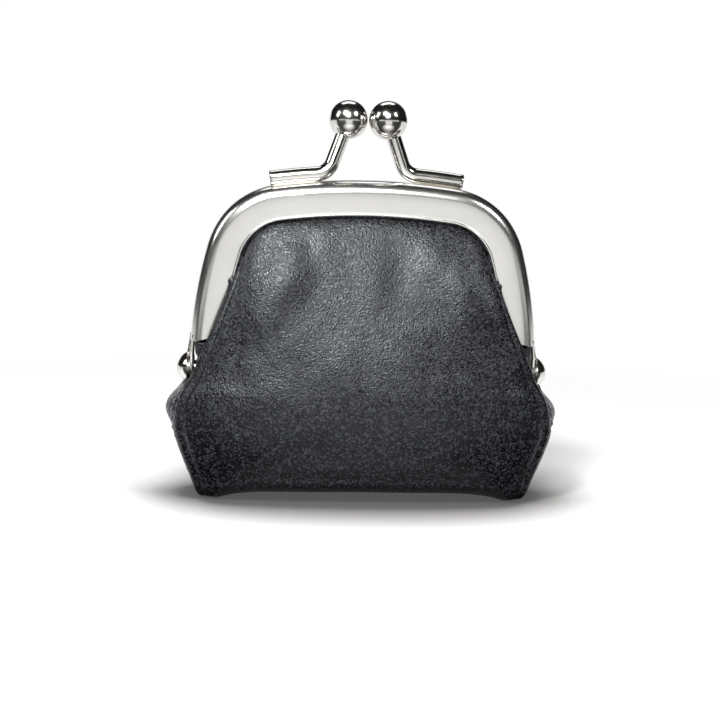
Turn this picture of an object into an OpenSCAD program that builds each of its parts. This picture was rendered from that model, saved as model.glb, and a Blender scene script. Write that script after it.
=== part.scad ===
// Clasp-frame coin purse, closed and standing on its base.
// X runs left to right, the front faces -Y, and Z is up. Each side of the frame is one half of a
// pressed channel, and both halves turn on the two rivets at the ends of one axis along X.

/* [Frame] */
// Width across the two legs at the hinge
frame_w = 80.4; // [74:0.1:92]
// Height of the crown above the hinge axis
frame_rise = 44; // [40:0.5:52]
// Radius of the crown's shallow arch
arch_r = 150; // [120:1:220]
// Radius of the rounded shoulders
shoulder_r = 19; // [15:0.5:22]
// Radius of the long sweep of the legs
leg_r = 110; // [95:1:150]
// Height above the hinge at which the flanges end
foot_rise = 6.6; // [6:0.1:8]
// How much higher a flange ends at its inner edge
foot_slant = 1.8; // [0.5:0.1:3]
// Thickness of the steel sheet
sheet_t = 0.8; // [0.6:0.05:1]
// Width of the front flange
flange_w = 8; // [6.5:0.1:9]
// Width of the flange inside the purse
inner_flange_w = 6.6; // [5:0.1:8]
// Radius of the frame's outer front edge
edge_r = 2.9; // [1.8:0.1:3.2]
// Radius of the frame's edge at the closing face
lip_r = 1; // [0.9:0.05:1.3]
// Radius of the rounded inner edge of the front flange
hem_r = 0.4; // [0.4:0.05:0.7]
// Gap between the two closed halves
frame_gap = 0.4; // [0.2:0.05:1]

/* [Hinge] */
// Height of the hinge axis above the base
hinge_h = 29.5; // [27:0.5:34]
// Radius of the round end of an ear
ear_r = 3; // [2.6:0.1:3.2]
// Width of an ear's neck
neck_w = 3.4; // [2.6:0.1:3.6]
// Clearance between the front ears and the rear ears outside them
ear_clearance = 0.1; // [0.05:0.01:0.2]
// Radius of a rivet's shank
rivet_r = 1.2; // [0.9:0.05:1.5]
// Clearance of the shank in its bores
pin_clearance = 0.05; // [0.02:0.01:0.1]
// Radius of a rivet's domed head
head_r = 3.6; // [3.2:0.1:3.8]
// Height of the domed head
head_h = 2.3; // [1.5:0.1:2.8]
// Radius of the rivet's upset tail
tail_r = 1.7; // [1.6:0.05:2]
// Height of the upset tail
tail_h = 0.7; // [0.5:0.05:1]
// Travel of each half from closed to open, in degrees
swing = 40; // [30:1:40]

/* [Clasp] */
// Diameter of the clasp rods
rod_d = 3.4; // [2.6:0.1:3.6]
// Diameter of the clasp balls
ball_d = 8.9; // [8:0.1:9.5]
// Side clearance between the balls as they pass
ball_clearance = 0.14; // [0.1:0.02:0.5]
// Height of the balls' centres above the crown
ball_rise = 13.8; // [12:0.1:16]
// How far each ball snaps past the middle
ball_cross = 0.6; // [0.2:0.1:1]
// Distance from the middle to the outer end of a rod
arm_reach = 22.4; // [20:0.1:24]
// Distance from the middle to the start of a rod's bend
bend_x = 11.6; // [11:0.1:13]
// Centreline radius of a rod's bend
bend_r = 4; // [3:0.1:5]
// Depth of a rod's end in its ball
socket_depth = 3; // [2:0.1:3.6]
// Clearance of a rod in its ball and on the crown
solder_gap = 0.05; // [0.03:0.01:0.1]

/* [Leather and lining] */
// Thickness of the leather
leather_t = 1; // [0.8:0.05:1.2]
// Thickness of the lining
lining_t = 0.4; // [0.3:0.05:0.6]
// Diameter of the paper cord in the channel
cord_d = 1.1; // [0.9:0.05:1.4]
// Clearance between the layers in the channel and between pieces sewn together
ply_gap = 0.12; // [0.1:0.01:0.2]
// Clearance between pieces that move past each other
soft_gap = 0.3; // [0.2:0.05:0.5]
// How far the belly stands out beyond each hinge ear
belly_overhang = 3.2; // [2:0.1:5]
// Height of the widest part of the belly
belly_h = 17.2; // [14:0.2:19]
// Roundness of the seams at the belly
belly_round = 2.4; // [1:0.1:4]
// Width across the base at its corners
base_w = 74.6; // [68:0.2:80]
// Depth of the belly, front to back
belly_d = 32.2; // [29:0.1:36]
// Depth of the gussets at the belly, seam to seam
gusset_d = 17; // [15.5:0.1:19]
// Depth above the base's rounding, front to back
base_d = 27.6; // [25:0.1:30]
// Radius of the base's front and rear edges
base_r = 5; // [4:0.1:6]
// How high the middle of the base arches between its feet
base_arch = 1.8; // [0.8:0.1:2.4]
// Length of each flat foot, measured in from the corner
foot_w = 4.5; // [3:0.5:8]
// How far the gusset ears stand out beyond the seams
ear_bulge = 2; // [1:0.1:3]
// Height above the hinge at which the seams go in behind the flanges
tuck_rise = 22.5; // [20:0.5:24]
// Height above the hinge to which the gussets' inner pleats reach
pleat_rise = 19; // [14:0.5:20]
// Depth of the pleats
pleat_d = 4; // [2:0.1:5]

/* [Hidden] */

STEEL = "#c8c8c4";
LEATHER = "#1a1c21";
LINING = "#4a4a52";
CORD = "#c2a878";
bite = 1; // how far a cutter passes the face that it cuts
curve_fn = 72;

// Frame outline: an arch, a shoulder and a leg in the XZ plane, each tangent to the next.
// Angles run from straight up, 0 at the crown, to 90 where the leg is upright beside the hinge.
half_w = frame_w / 2;
crown_z = hinge_h + frame_rise;
foot_z = hinge_h + foot_rise;
arch_c = [0, crown_z - arch_r];
leg_c = [half_w - leg_r, hinge_h];
shoulder_c = inner_tangent_centre(arch_c, arch_r - shoulder_r, leg_c, leg_r - shoulder_r);
arch_a = bearing(shoulder_c - arch_c);
shoulder_a = bearing(shoulder_c - leg_c);
foot_a = acos(foot_rise / leg_r);

// Layers in the channel, measured forward from the closing face.
channel_d = 2 * sheet_t + leather_t + lining_t + cord_d + 4 * ply_gap;
cord_h = sheet_t + ply_gap + cord_d / 2;
lining_h = sheet_t + 2 * ply_gap + cord_d + lining_t / 2;
leather_h = lining_h + lining_t / 2 + ply_gap + leather_t / 2;
face_y = frame_gap / 2;

// Ear layers: the front ears lie inside, and the rear ears are joggled outward over them.
ear_lap = 1.2; // height of the lap of an ear on the wall
lap_step = 0.3; // how far a lapped ear lies off the wall's own faces
front_ear_x = half_w - lap_step;
rear_ear_x = front_ear_x + ear_clearance + sheet_t;
joggle_rise = 0.6; // height of the joggle above an ear's round end
joggle_z = hinge_h + ear_r + joggle_rise;
ear_bottom = hinge_h - ear_r - bite;
rivet_seat = 0.05; // clearance under the rivet's head and tail
head_x = rear_ear_x + rivet_seat;
tail_x = front_ear_x - sheet_t - rivet_seat;

// Clasp
rod_r = rod_d / 2;
ball_r = ball_d / 2;
ball_x = ball_r + ball_clearance / 2;
ball_z = crown_z + ball_rise;
base_line_r = arch_r + rod_r + solder_gap;
rod_y = face_y + (lip_r + channel_d - edge_r) / 2;

// Leather: the seams are two straight tapers that meet in a round at the belly.
belly_half = half_w + belly_overhang;
tuck_z = hinge_h + tuck_rise;
taper_up = (belly_half - flange_edge_x(tuck_z)) / (soft_abs(tuck_z - belly_h, belly_round) - belly_round);
taper_down = (belly_half - base_w / 2) / (soft_abs(belly_h, belly_round) - belly_round);

// Each half's leather swings about the hinge just inside the rim of the pouch, like a visor.
rim_drop = 14; // angle of the pouch's rim below the hinge axis
visor_drop = 17; // angle of the lower edge of each half's leather
visor_spare = 3; // angle by which a fully opened visor still overlaps the rim
visor_top = swing - rim_drop - visor_spare; // angle to which that leather keeps to its circle
wall_r = belly_d / 2 - leather_t / 2;
wall_side_r = gusset_d / 2;
visor_step = leather_t + soft_gap;
visor_r = wall_r - visor_step;
visor_side_r = wall_side_r - visor_step - soft_gap / 2;
side_step = visor_step / 2; // half of the step from the visor's side edge out to the pouch's
step_rise = 6; // height above the belly over which the pouch's side edges take up that step
lining_step = (leather_t + lining_t) / 2 + ply_gap;
pouch_lining_step = (leather_t + lining_t) / 2 + soft_gap;
belly_top = 19; // height at which the pouch is deepest
rim_sag = (1 - cos(rim_drop)) / pow(hinge_h - wall_r * sin(rim_drop) - belly_top, 2);
base_sag = (1 - (base_d - leather_t) / 2 / wall_r) / pow(belly_top - base_r, 2);

columns = [for (i = [-8 : 8]) sin(i * 90 / 8)];
gusset_columns = [for (i = [-4 : 4]) i / 4];
lining_drop = 2.6; // how far the pouch's lining stops below the rim

// Plain geometry
function bearing(d) = atan2(d.x, d.y);
function soft_abs(v, r) = sqrt(v * v + r * r);
function unit(v) = v / norm(v);
function clamp_index(i, list) = min(max(i, 0), len(list) - 1);

// Centre of the circle that touches two others from inside, given their centres and the
// distances from them.
function inner_tangent_centre(p, rp, q, rq) =
    let (d = q - p, l = norm(d), a = (rp * rp - rq * rq + l * l) / (2 * l), h = sqrt(rp * rp - a * a))
    p + d * a / l + [d.y, -d.x] * h / l;

// A point of the outline moved n outward, for a signed angle.
function outline(a, n) =
    let (
        b = abs(a),
        s = sign(a),
        c = b <= arch_a ? arch_c : b <= shoulder_a ? shoulder_c : leg_c,
        r = b <= arch_a ? arch_r : b <= shoulder_a ? shoulder_r : leg_r
    )
    [s * (c.x + (r + n) * sin(b)), c.y + (r + n) * cos(b)];

// The angle at a share f, from -1 to 1, of the way along the flange's inner edge.
function outline_angle(f) =
    let (
        arch_len = (arch_r - flange_w) * arch_a,
        shoulder_len = (shoulder_r - flange_w) * (shoulder_a - arch_a),
        at = abs(f) * (arch_len + shoulder_len)
    )
    sign(f) * (at <= arch_len ? at / (arch_r - flange_w) : arch_a + (at - arch_len) / (shoulder_r - flange_w));

// Half width of the front flange's inner edge on the leg at a height.
function flange_edge_x(z) = leg_c.x + sqrt(pow(leg_r - flange_w, 2) - pow(z - leg_c.y, 2));

// Half width from seam to seam, at the leather's middle surface.
function seam_x(z) =
    belly_half - leather_t / 2
    - (z > belly_h ? taper_up : taper_down) * (soft_abs(z - belly_h, belly_round) - belly_round);

// How full the cross-section is at a share f of the half width: 1 in the middle, 0 at a seam.
function fullness(f) = pow(max(0, 1 - pow(abs(f), 3)), 0.6);
function visor_radius(f) = visor_side_r + (visor_r - visor_side_r) * fullness(f);
function wall_radius(f) = wall_side_r + (wall_r - wall_side_r) * fullness(f);
function wall_share(z) = 1 - (z > belly_top ? rim_sag : base_sag) * pow(z - belly_top, 2);
function side_shift(z) = side_step * max(0, min(1, (z - belly_h) / step_rise));
function arch_lift(x, z) =
    base_arch * max(0, 1 - pow(x / (base_w / 2 - foot_w), 4)) * max(0, 1 - z / (2 * base_r));

// Grids of points and the sheets made from them
function grid_normal(m, i, j) =
    unit(cross(
        m[clamp_index(i + 1, m)][j] - m[clamp_index(i - 1, m)][j],
        m[i][clamp_index(j + 1, m[i])] - m[i][clamp_index(j - 1, m[i])]
    ));
function shifted(m, n) =
    [for (i = [0 : len(m) - 1]) [for (j = [0 : len(m[i]) - 1]) m[i][j] + n * grid_normal(m, i, j)]];

// A sheet of an even thickness, centred on a grid of points.
module sheet(middle, thickness) {
    rows = len(middle);
    cols = len(middle[0]);
    count = rows * cols;
    front = shifted(middle, thickness / 2);
    back = shifted(middle, -thickness / 2);
    edge = concat(
        [for (j = [0 : cols - 2]) j],
        [for (i = [0 : rows - 2]) i * cols + cols - 1],
        [for (j = [cols - 1 : -1 : 1]) (rows - 1) * cols + j],
        [for (i = [rows - 1 : -1 : 1]) i * cols]
    );
    polyhedron(
        points = concat([for (r = front) each r], [for (r = back) each r]),
        faces = concat(
            [for (i = [0 : rows - 2], j = [0 : cols - 2]) let (a = i * cols + j)
                each [[a, a + cols + 1, a + cols], [a, a + 1, a + cols + 1]]],
            [for (i = [0 : rows - 2], j = [0 : cols - 2]) let (a = count + i * cols + j)
                each [[a, a + cols, a + cols + 1], [a, a + cols + 1, a + 1]]],
            [for (k = [0 : len(edge) - 1]) let (p = edge[k], q = edge[(k + 1) % len(edge)])
                each [[p, p + count, q + count], [p, q + count, q]]]
        )
    );
}

// Upper leather of one half: ribs run from the channel over the lip, down the front and round
// the visor's circle.
lip_reach = 0.6; // how far a rib runs straight on past the flange
lip_lean = 1.4; // how far, as a share of that, a rib still leans inward as it rolls over the flange
rib_pull = 0.4; // how long a rib keeps to the visor's direction, as a share of its length
rib_crowd = 1.3; // how closely the rows of a rib lie at the flange
tongue_in = max(sheet_t, edge_r - ply_gap) + ply_gap; // clear of the round inside the frame's edge
function channel_point(f, n) = let (p = outline(outline_angle(f), n)) [p.x, -face_y - leather_h, p.y];
function visor_point(f, a) =
    let (z = hinge_h + visor_radius(f) * sin(a))
    [f * (seam_x(z) - side_step), -visor_radius(f) * cos(a), z];
function rise_of(f) =
    [-taper_up * f * cos(visor_top), sin(visor_top) * fullness(f), cos(visor_top)];
function bezier(p, t) =
    pow(1 - t, 3) * p[0] + 3 * t * pow(1 - t, 2) * p[1] + 3 * t * t * (1 - t) * p[2] + pow(t, 3) * p[3];
function rib_curve(f) =
    let (
        p0 = channel_point(f, -flange_w - lip_reach),
        p1 = channel_point(f, -flange_w - (1 + lip_lean) * lip_reach) - [0, edge_r + leather_t / 2, 0],
        p3 = visor_point(f, visor_top),
        p2 = p3 + rise_of(f) * rib_pull * norm(p3 - p0)
    )
    [p0, p1, p2, p3];
function upper_rows() =
    concat(
        [for (k = [0, 1]) [for (f = columns)
            channel_point(f, -tongue_in - k / 2 * (flange_w + lip_reach - tongue_in))]],
        [for (k = [0 : 8]) [for (f = columns) bezier(rib_curve(f), pow(k / 8, rib_crowd))]],
        [for (k = [1 : 4]) [for (f = columns) visor_point(f, visor_top - k / 4 * (visor_top + visor_drop))]]
    );

// Lower leather: one strip down the front, under the base and up the back.
flat_share = 0.85; // share of the base's depth at which its flat begins
function base_point(f, y, z) =
    let (x = f * seam_x(z)) [x, y, z + arch_lift(x, z)];
function front_strip(drop) =
    concat(
        [for (k = [0 : 4]) [for (f = columns)
            let (top = hinge_h - wall_radius(f) * sin(rim_drop) - drop, z = top + k / 5 * (base_r - top),
                x = f * (seam_x(z) + side_shift(z)))
            [x, -wall_share(z) * wall_radius(f), z + arch_lift(x, z)]]],
        [for (k = [0 : 4]) [for (f = columns)
            let (a = k * 22.5, flat = wall_share(base_r) * wall_radius(f) - base_r + leather_t / 2,
                r = base_r - leather_t / 2)
            base_point(f, -flat - r * cos(a), base_r - r * sin(a))]]
    );
function full_strip(drop) =
    let (front = front_strip(drop), n = len(front))
    concat(
        front,
        [for (share = [flat_share, -flat_share]) [for (p = front[n - 1]) [p.x, share * p.y, p.z]]],
        [for (i = [n - 1 : -1 : 0]) [for (p = front[i]) [p.x, -p.y, p.z]]]
    );

// Gusset: from the front seam to the rear seam, bulging into an ear under the rivet, then a
// narrow tongue that folds inward between the two halves.
seam_inset = leather_t / 2 + soft_gap;
function seam_y(z) =
    z >= base_r ? wall_share(z) * wall_side_r - soft_gap
    : wall_share(base_r) * wall_side_r - base_r
        + sqrt(pow(base_r - seam_inset, 2) - pow(base_r - max(z, seam_inset), 2));
rim_side_z = hinge_h - wall_side_r * sin(rim_drop);
rim_middle_z = hinge_h - ear_r - soft_gap - leather_t;
bulge_rise = 3.6; // height of a gusset's ear above the belly
bulge_spread = 3.8; // how far the ear fades out above and below
bulge_least = 0.2; // how far the rest of a gusset stands out
function seam_top(g) = rim_middle_z + (rim_side_z - rim_middle_z) * pow(abs(g), 3);
function ear_x(z) = ear_bulge * exp(-pow((z - belly_h - bulge_rise) / bulge_spread, 2)) + bulge_least;
function gusset_x(g, z) = seam_x(z) + side_shift(z) + ear_x(z) * (1 - g * g);
gusset_foot = leather_t + soft_gap;
function gusset_wall(drop, inset, foot) =
    [for (k = [0 : 9]) [for (g = gusset_columns)
        let (z = foot + (1 - k / 9) * (seam_top(g) - drop - foot))
        [gusset_x(g, z) - inset, g * (seam_y(z) - inset / 2), z]]];
tongue_half = 1.8; // half width of the tongue where it is flat
tongue_flare = 0.6; // how much wider it is on each side where it is folded into the pleat
tail_end_x = tail_x - tail_h; // the tongue passes under the rivet's tail and the ears
tongue_path = [
    [pleat_x(pleat_rise), hinge_h + pleat_rise],
    [pleat_x(pleat_rise * 2 / 3), hinge_h + pleat_rise * 2 / 3],
    [pleat_x(pleat_rise / 3), hinge_h + pleat_rise / 3],
    [tail_end_x - 4.4 * leather_t, hinge_h + tail_r],
    [tail_end_x - 2 * leather_t, hinge_h - tail_r],
    [tail_end_x - leather_t / 2, hinge_h - ear_r - leather_t / 4],
    [half_w - 2 * sheet_t, hinge_h - ear_r - leather_t / 2 - soft_gap],
    [half_w - sheet_t / 4, hinge_h - head_r - leather_t / 2 - soft_gap]
];
function pleat_x(rise) = outline_x(rise) - inner_flange_w - leather_t - pleat_d - soft_gap;
function outline_x(rise) = leg_c.x + sqrt(leg_r * leg_r - rise * rise);
function gusset_tongue() =
    [for (p = tongue_path) [for (g = gusset_columns)
        let (folded = p.y > hinge_h + ear_r ? 1 : 0)
        [p.x + folded * pleat_d * abs(g), g * (tongue_half + folded * tongue_flare), p.y]]];

// Frame section: n runs outward from the flange's edge to the outline, h forward from the closing
// face. The section is a strip: each outer point has an inner point across the sheet from it.
function arc_points(c, r, angles) = [for (a = angles) c + r * [cos(a), sin(a)]];
lip_angles = [-90, -60, -30, 0];
edge_angles = [0, 22.5, 45, 67.5, 90];
lip_centre = [-lip_r, lip_r];
edge_centre = [-edge_r, channel_d - edge_r];
hem_centre = [-flange_w + hem_r, channel_d - sheet_t + hem_r];
hem_start = -flange_w + 2.4 * hem_r; // where the flange's front face turns into the hem
hem_end = -flange_w + 1.7 * hem_r; // where the hem's edge meets the flange's inner face
channel_outer = concat(
    [[-inner_flange_w, 0]],
    arc_points(lip_centre, lip_r, lip_angles),
    arc_points(edge_centre, edge_r, edge_angles),
    [[hem_start, channel_d]],
    arc_points(hem_centre, hem_r, [50, 90, 130, 165])
);
channel_inner = concat(
    [[-inner_flange_w, sheet_t]],
    arc_points(lip_centre, lip_r - sheet_t, lip_angles),
    arc_points(edge_centre, edge_r - sheet_t, edge_angles),
    [[hem_start, channel_d - sheet_t], [hem_end, channel_d - sheet_t]],
    arc_points(hem_centre, hem_r, [270, 230, 195])
);

// Angles along the outline at which a sweep has its sections, between the two feet.
function steps(from, to, count) = [for (k = [1 : count]) from + (to - from) * k / count];
function half_stations(foot) =
    concat(steps(0, arch_a, 3), steps(arch_a, shoulder_a, 9), steps(shoulder_a, foot, 3));
function stations(foot) =
    let (half = half_stations(foot), last = len(half) - 1)
    concat([for (k = [last : -1 : 0]) -half[k]], [0], half);

// Angle at which a fibre of the section ends: a flange stops higher at its inner edge.
function end_angle(n) =
    acos((foot_rise + foot_slant * max(0, (-n - edge_r / 2) / (flange_w - edge_r / 2))) / (leg_r + n));
function swept_point(p, a) =
    let (b = sign(a) * min(abs(a), end_angle(p.x)), q = outline(b, p.x))
    [q.x, -face_y - p.y, q.y];

// Sweeps a strip section, or a closed ring cut into two such lists, along the outline.
module swept(outer, inner, foot) {
    path = stations(foot);
    half = len(outer);
    ring = concat(outer, [for (k = [half - 1 : -1 : 0]) inner[k]]);
    count = len(ring);
    last = (len(path) - 1) * count;
    polyhedron(
        points = [for (a = path, p = ring) swept_point(p, a)],
        faces = concat(
            [for (i = [0 : len(path) - 2], k = [0 : count - 1])
                let (a = i * count + k, b = i * count + (k + 1) % count)
                each [[a, a + count, b + count], [a, b + count, b]]],
            [for (k = [0 : half - 2]) let (a = k, b = count - 1 - k)
                each [[a, a + 1, b - 1], [a, b - 1, b]]],
            [for (k = [0 : half - 2]) let (a = last + k, b = last + count - 1 - k)
                each [[a, b - 1, a + 1], [a, b, b - 1]]]
        )
    );
}

// One hinge ear: a plate lapped into the outer wall above and narrowed to a round end below.
module ear(layer_x, lap) {
    top = outline_x(foot_rise + ear_lap) + lap;
    foot = outline_x(foot_rise) + lap;
    difference() {
        intersection() {
            rotate([90, 0, 0])
                linear_extrude(4 * ear_r, center = true)
                polygon([
                    [top - sheet_t, foot_z + ear_lap], [top, foot_z + ear_lap], [foot, foot_z],
                    [layer_x, joggle_z], [layer_x, ear_bottom],
                    [layer_x - sheet_t, ear_bottom], [layer_x - sheet_t, joggle_z], [foot - sheet_t, foot_z]
                ]);
            rotate([90, 0, 90]) linear_extrude(2 * half_w) ear_outline();
        }
        translate([half_w - 3 * sheet_t, 0, hinge_h])
            rotate([0, 90, 0])
            cylinder(r = rivet_r + pin_clearance, h = 6 * sheet_t, $fn = curve_fn);
    }
}

module ear_outline() {
    translate([0, hinge_h]) circle(ear_r, $fn = curve_fn);
    polygon([
        [-face_y - lip_r, foot_z + 2 * ear_lap], [-face_y - neck_w, foot_z + 2 * ear_lap],
        [-face_y - neck_w, joggle_z], [-ear_r, hinge_h], [-face_y, hinge_h], [-face_y, foot_z],
        [-face_y - lip_r, foot_z]
    ]);
}

module frame_half(layer_x, lap) {
    color(STEEL) {
        swept(channel_outer, channel_inner, foot_a);
        for (side = [0, 1]) mirror([side, 0, 0]) ear(layer_x, lap);
    }
}

cord_stop = 2; // angle by which the cord stops short of the flanges' feet
module paper_cord() {
    centre = [-sheet_t - 2 * ply_gap - cord_d / 2, cord_h];
    color(CORD) swept(
        arc_points(centre, cord_d / 2, [0, 45, 90, 135, 180]),
        arc_points(centre, cord_d / 2, [-22.5, -45, -90, -135, -157.5]),
        foot_a - cord_stop);
}

module upper_leather() {
    color(LEATHER) sheet(upper_rows(), leather_t);
}

module upper_lining() {
    color(LINING) sheet(shifted(upper_rows(), -lining_step), lining_t);
}

module pouch_leather() {
    color(LEATHER) sheet(full_strip(0), leather_t);
}

module pouch_lining() {
    color(LINING) sheet(shifted(full_strip(lining_drop), -pouch_lining_step), lining_t);
}

module gusset() {
    color(LEATHER) sheet(concat(gusset_tongue(), gusset_wall(0, 0, gusset_foot)), leather_t);
}

module lining_gusset() {
    color(LINING)
        sheet(gusset_wall(lining_drop, pouch_lining_step, gusset_foot + pouch_lining_step), lining_t);
}

// A rivet on the right: domed head outside, shank through both ears, upset tail inside.
module rivet() {
    dome_r = (head_r * head_r + head_h * head_h) / (2 * head_h);
    color(STEEL) translate([0, 0, hinge_h]) rotate([0, 90, 0]) {
        translate([0, 0, tail_x - tail_h]) cylinder(r = tail_r, h = tail_h, $fn = curve_fn);
        translate([0, 0, tail_x - tail_h / 2])
            cylinder(r = rivet_r, h = head_x - tail_x + tail_h / 2 + head_h / 2, $fn = curve_fn);
        intersection() {
            translate([0, 0, head_x + head_h - dome_r]) sphere(dome_r, $fn = curve_fn);
            translate([0, 0, head_x]) cylinder(r = head_r + bite, h = head_h + bite, $fn = curve_fn);
        }
    }
}

// Clasp arm of the front half, on the left. Its bend and stem lie in one plane, which leans back
// so that the stem points at the ball.
bend_a = asin(bend_x / base_line_r);
end_a = asin(arm_reach / base_line_r);
bend_start = [-base_line_r * sin(bend_a), -rod_y, arch_c.y + base_line_r * cos(bend_a)];
ball_centre = [-ball_x, ball_cross, ball_z];
along = [cos(bend_a), 0, sin(bend_a)];
reach = ball_centre - bend_start;
reach_along = reach * along;
reach_up = [-sin(bend_a), 0, cos(bend_a)] * reach;
reach_off = norm([reach_up, reach.y]);
stem_tilt = atan2(reach.y, reach_up);
stem_len = sqrt(reach_along * reach_along + pow(reach_off - bend_r, 2) - bend_r * bend_r);
turn = atan2(reach_off - bend_r, reach_along) + atan2(bend_r, stem_len);

module in_stem_plane() {
    translate(bend_start) rotate([0, -bend_a, 0]) rotate([-stem_tilt, 0, 0]) children();
}

// Moves to the end of the bend, with Z along the stem.
module at_stem() {
    in_stem_plane()
        translate([bend_r * sin(turn), 0, bend_r * (1 - cos(turn))])
        rotate([0, 90 - turn, 0])
        children();
}

// The arm's centreline: along the crown, round the bend and up the stem. Each entry is a point
// and the way that the rod runs there.
up = unit(reach - reach_along * along);
function base_step(a) =
    [[-base_line_r * sin(a), -rod_y, arch_c.y + base_line_r * cos(a)], [cos(a), 0, sin(a)]];
function bend_step(a) =
    [bend_start + bend_r * (sin(a) * along + (1 - cos(a)) * up), cos(a) * along + sin(a) * up];
stem_start = bend_step(turn);
rod_sides = 16;
bend_steps = 9;
arm_path = concat(
    [for (k = [0 : 3]) base_step(end_a + (bend_a - end_a) * k / 4)],
    [for (k = [0 : bend_steps]) bend_step(turn * k / bend_steps)],
    [[stem_start[0] + (stem_len - ball_r + socket_depth) * stem_start[1], stem_start[1]]]
);

// A round rod along such a path, which stays near one plane with the given normal.
module rod(path, normal, radius, sides) {
    rings = [for (p = path)
        let (u = unit(normal - (normal * p[1]) * p[1]), v = cross(p[1], u))
        [for (k = [0 : sides - 1]) p[0] + radius * (cos(k * 360 / sides) * u + sin(k * 360 / sides) * v)]];
    last = (len(rings) - 1) * sides;
    polyhedron(
        points = [for (r = rings) each r],
        faces = concat(
            [for (i = [0 : len(rings) - 2], k = [0 : sides - 1])
                let (a = i * sides + k, b = i * sides + (k + 1) % sides)
                each [[a, a + sides, b + sides], [a, b + sides, b]]],
            [[for (k = [0 : sides - 1]) k], [for (k = [sides - 1 : -1 : 0]) last + k]]
        )
    );
}

module clasp_arm() {
    color(STEEL) rod(arm_path, cross(along, up), rod_r, rod_sides);
}

module clasp_ball() {
    color(STEEL) at_stem() translate([0, 0, stem_len]) rotate_extrude($fn = curve_fn) difference() {
        circle(ball_r, $fn = curve_fn);
        translate([-2 * ball_r, -ball_r - bite]) square([2 * ball_r, 2 * (ball_r + bite)]);
        translate([-bite, -ball_r - bite])
            square([rod_r + solder_gap + bite, socket_depth + solder_gap + bite]);
    }
}

// The rear half is the front one turned about Z, so its clasp arm is on the right.
module turned() {
    rotate([0, 0, 180]) children();
}

pouch_leather();
mirror([1, 0, 0]) gusset();  // left_gusset
gusset();  // right_gusset
pouch_lining();
mirror([1, 0, 0]) lining_gusset();  // left_lining_gusset
lining_gusset();  // right_lining_gusset
mirror([1, 0, 0]) rivet();  // left_rivet
rivet();  // right_rivet
frame_half(front_ear_x, -lap_step);  // front_frame
upper_leather();  // front_leather
upper_lining();  // front_lining
paper_cord();  // front_paper_cord
clasp_arm();  // front_clasp_arm
clasp_ball();  // front_clasp_ball
turned() frame_half(rear_ear_x, lap_step);  // rear_frame
turned() upper_leather();  // rear_leather
turned() upper_lining();  // rear_lining
turned() paper_cord();  // rear_paper_cord
turned() clasp_arm();  // rear_clasp_arm
turned() clasp_ball();  // rear_clasp_ball
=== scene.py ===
"""Looks of the clasp-frame coin purse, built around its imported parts. Lengths in the code are mm."""
import math

import bpy
import numpy as np
from mathutils import Matrix, Vector, noise


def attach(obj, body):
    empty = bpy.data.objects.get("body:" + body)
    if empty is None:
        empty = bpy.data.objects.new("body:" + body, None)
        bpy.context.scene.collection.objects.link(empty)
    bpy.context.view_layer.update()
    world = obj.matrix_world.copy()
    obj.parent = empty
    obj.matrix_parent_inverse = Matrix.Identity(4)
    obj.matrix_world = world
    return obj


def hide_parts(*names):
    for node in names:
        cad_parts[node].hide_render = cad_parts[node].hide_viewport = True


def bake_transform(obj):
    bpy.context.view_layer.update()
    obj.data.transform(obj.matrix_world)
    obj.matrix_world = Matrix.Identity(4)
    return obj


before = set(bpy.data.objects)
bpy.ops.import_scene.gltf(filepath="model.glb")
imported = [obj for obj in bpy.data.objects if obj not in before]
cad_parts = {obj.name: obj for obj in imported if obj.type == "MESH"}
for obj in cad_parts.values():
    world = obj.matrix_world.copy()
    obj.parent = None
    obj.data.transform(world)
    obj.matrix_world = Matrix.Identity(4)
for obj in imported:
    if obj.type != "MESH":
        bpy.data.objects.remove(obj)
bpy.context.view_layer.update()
MM = 0.001

# Sizes of the frame and the leather, with the CAD part's names and values. BASE_ARCH, FOOT_W and
# FOOT_POWER alone differ: the scene's base is lifted a little more between narrower feet.
HALF_W, RISE, ARCH_R, SHOULDER_R, LEG_R = 40.2, 44.0, 150.0, 19.0, 110.0
FOOT_RISE, FOOT_SLANT, SHEET_T, FLANGE_W, INNER_W = 6.6, 1.8, 0.8, 8.0, 6.6
EDGE_R, LIP_R, HEM_R, GAP = 2.9, 1.0, 0.4, 0.4
HINGE_H, EAR_R, NECK_W = 29.5, 3.0, 3.4
ROD_R, BALL_R, ARM_REACH, BEND_X, BEND_R = 1.7, 4.45, 22.4, 11.6, 4.0
SOLDER_GAP, SOCKET_DEPTH, BALL_CLEARANCE, BALL_CROSS, BALL_RISE = 0.05, 3.0, 0.14, 0.6, 13.8
EAR_LAP, LAP_STEP, EAR_CLEARANCE, JOGGLE_RISE = 1.2, 0.3, 0.1, 0.6
LEATHER_T, LINING_T, CORD_D, PLY = 1.0, 0.4, 1.1, 0.12
BELLY_H, BELLY_ROUND, BASE_W, BELLY_D, GUSSET_D = 17.2, 2.4, 74.6, 32.2, 17.0
BASE_D, BASE_R, BASE_ARCH, FOOT_W, BELLY_TOP = 27.6, 5.0, 2.4, 4.0, 19.0
RIM_DROP, BELLY_OVERHANG, TUCK_RISE, SOFT_GAP = 14.0, 3.2, 22.5, 0.3
SIDE_STEP, STEP_RISE, SIDE_POWER, FULL_POWER, FOOT_POWER = 0.65, 6.0, 3, 0.6, 6
CHANNEL_D = 2 * SHEET_T + LEATHER_T + LINING_T + CORD_D + 4 * PLY
FACE_Y = GAP / 2
LEATHER_H = SHEET_T + 2 * PLY + CORD_D + LINING_T + PLY + LEATHER_T / 2
CROWN_Z = HINGE_H + RISE
FOOT_Z = HINGE_H + FOOT_RISE
SIDES = ((-1, "left"), (1, "right"))
HALVES = ((-1, "front"), (1, "rear"))


def bearing(d):
    """The angle of a direction from straight up."""
    return math.degrees(math.atan2(d[0], d[1]))


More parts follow.
